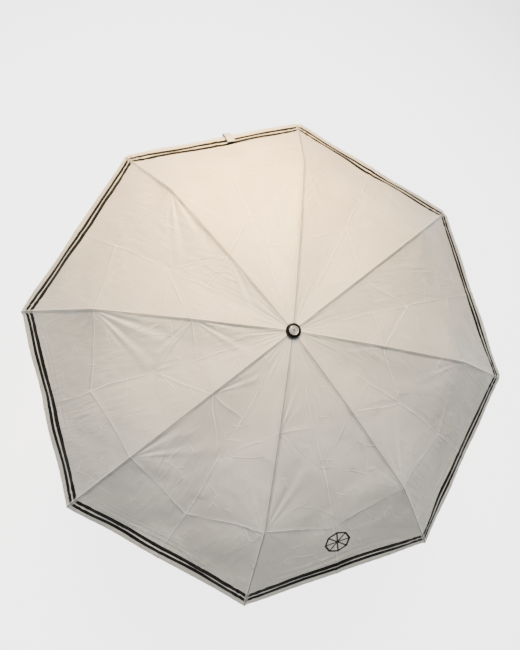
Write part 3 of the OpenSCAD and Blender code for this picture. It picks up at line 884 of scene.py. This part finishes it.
def spring(node, coil, base, out, mat):
    """A coil spring with closed ends in place of its CAD solid.

    coil is its radius, the wire's radius, its turns and its length; it rises from base along out.
    """
    radius, wire, turns, length = coil
    steps, sides = 24, 10
    tight = 2.2 * wire
    loose = (length - 2 * tight) / (turns - 2)
    base, out, across = Vector(base), Vector(out), Vector((1, 0, 0))
    aside = out.cross(across)
    height, bm, rings = 0.0, bmesh.new(), []
    for i in range(turns * steps + 1):
        a = 2 * math.pi * i / steps
        ring = []
        for j in range(sides):
            b = 2 * math.pi * j / sides
            q = radius + wire * math.cos(b)
            round_axis = across * q * math.cos(a) + aside * q * math.sin(a)
            ring.append(bm.verts.new(base + round_axis + out * (height + wire * math.sin(b))))
        rings.append(ring)
        at_end = i < steps or i >= (turns - 1) * steps
        height += (tight if at_end else loose) / steps
    for low, high in zip(rings, rings[1:]):
        for i in range(sides):
            j = (i + 1) % sides
            bm.faces.new((low[i], high[i], high[j], low[j])).smooth = True
    bm.faces.new(rings[0])
    bm.faces.new(list(reversed(rings[-1])))
    bmesh.ops.recalc_face_normals(bm, faces=bm.faces)
    mesh = bpy.data.meshes.new(node + "_coil")
    bm.to_mesh(mesh)
    bm.free()
    obj = add_object(node + "_coil", mesh, mat)
    finish_piece(obj, "handle", node)
    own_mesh(obj)


def springs(steel):
    """The long spring in the shaft and the small one behind the button."""
    opening = (4.8 * MM, 0.5 * MM, 16, 201.6 * MM)
    button = (1.7 * MM, 0.25 * MM, 4, 5.4 * MM)
    spring("opening_spring", opening, (0, 0, -16 * MM), (0, 0, 1), steel)
    spring("button_spring", button, (0, -7.1 * MM, 29 * MM), (0, -1, 0), steel)


# ---------------------------------------------------------------- stage, light and camera
FLOOR_Z = -0.75
# Brightness of the floor under the umbrella and far from it, so that it renders nearly white
FLOOR_GLOW, FAR_GLOW = 3.4, 0.1
# The sky's strength at the horizon and higher up
SKY_LOW, SKY_HIGH = 0.42, 0.2
SKY_COLOUR = (1.0, 0.99, 0.97, 1.0)
# The camera's place, and its directions to the right and back, found from the canopy's eight corners
CAMERA_PLACE = (-0.2057, -0.2086, 1.5417)
CAMERA_RIGHT, CAMERA_BACK = (0.9802, 0.1123, 0.1629), (-0.1387, -0.1974, 0.9705)


def area_light(name, place, target, size, power, colour):
    """A round studio lamp aimed at a point."""
    data = bpy.data.lights.new(name, "AREA")
    data.shape = "DISK"
    data.size = size
    data.energy = power
    data.color = colour
    obj = bpy.data.objects.new(name, data)
    obj.location = place
    obj.rotation_euler = (Vector(target) - Vector(place)).to_track_quat("-Z", "Y").to_euler()
    bpy.context.collection.objects.link(obj)
    return obj


def floor():
    """A pale floor that glows softly under the umbrella."""
    bpy.ops.mesh.primitive_plane_add(size=14, location=(0, 0, FLOOR_Z))
    plane = bpy.context.object
    plane.name = "studio_floor"
    s = Shader("studio_floor", Roughness=0.9, Specular_IOR_Level=0.1, Emission_Color=(1.0, 1.0, 1.0))
    s.set(Base_Color=s.mix(s.noise(2.0), (0.93, 0.93, 0.93), (0.95, 0.95, 0.95)))
    place = {0: s.node("TexCoord", out="Object")}
    from_middle = s.node("VectorMath", place, out="Value", operation="LENGTH")
    s.set(Emission_Strength=s.fit(from_middle, 1.3, 3.2, FLOOR_GLOW, FAR_GLOW))
    plane.data.materials.append(s.mat)


def sky():
    """A plain soft sky, brighter at the horizon."""
    world = bpy.context.scene.world or bpy.data.worlds.new("World")
    bpy.context.scene.world = world
    world.use_nodes = True
    tree = world.node_tree
    background = tree.nodes.get("Background") or tree.nodes.new("ShaderNodeBackground")
    background.inputs[0].default_value = SKY_COLOUR
    split = tree.nodes.new("ShaderNodeSeparateXYZ")
    tree.links.new(tree.nodes.new("ShaderNodeTexCoord").outputs["Generated"], split.inputs[0])
    fade = tree.nodes.new("ShaderNodeMapRange")
    for index, value in ((1, 0.0), (2, 0.6), (3, SKY_LOW), (4, SKY_HIGH)):
        fade.inputs[index].default_value = value
    tree.links.new(split.outputs[2], fade.inputs[0])
    tree.links.new(fade.outputs[0], background.inputs[1])


def camera():
    """The camera at the photo's place and angle."""
    data = bpy.data.cameras.new("camera")
    data.sensor_width = 36
    data.lens = 35.0
    data.clip_start = 0.01
    right, back = Vector(CAMERA_RIGHT), Vector(CAMERA_BACK).normalized()
    right = (right - back * right.dot(back)).normalized()
    pose = Matrix((right, back.cross(right), back)).transposed().to_4x4()
    pose.translation = CAMERA_PLACE
    obj = bpy.data.objects.new("camera", data)
    obj.matrix_world = pose
    bpy.context.collection.objects.link(obj)
    bpy.context.scene.camera = obj


def studio():
    floor()
    sky()
    area_light("key", (-0.45, 1.05, 3.3), (0, 0, 0.4), 1.1, 135, (1.0, 0.985, 0.94))
    # A small warm pool of light on the gores at the photo's top
    aim = (-0.11, 0.31, 0.42)
    lamp = area_light("warm_lamp", (-0.24, 0.74, 1.28), aim, 0.25, 5, (1.0, 0.61, 0.21))
    lamp.visible_camera = False
    lamp.data.spread = math.radians(50)
    camera()


# ---------------------------------------------------------------- the whole scene
springs(dress_nodes()["spring_steel"])
build_canopy(cloth_material("canopy_satin"), cloth_material("canopy_satin_printed", printed=True))
tie_strap(cloth_material("strap_satin", sewn_gore=False))
ferrule(cap_material("cap_lacquer"), disc_material("disc_turned"))
handle(rubber_material("grip_rubber"))
studio()
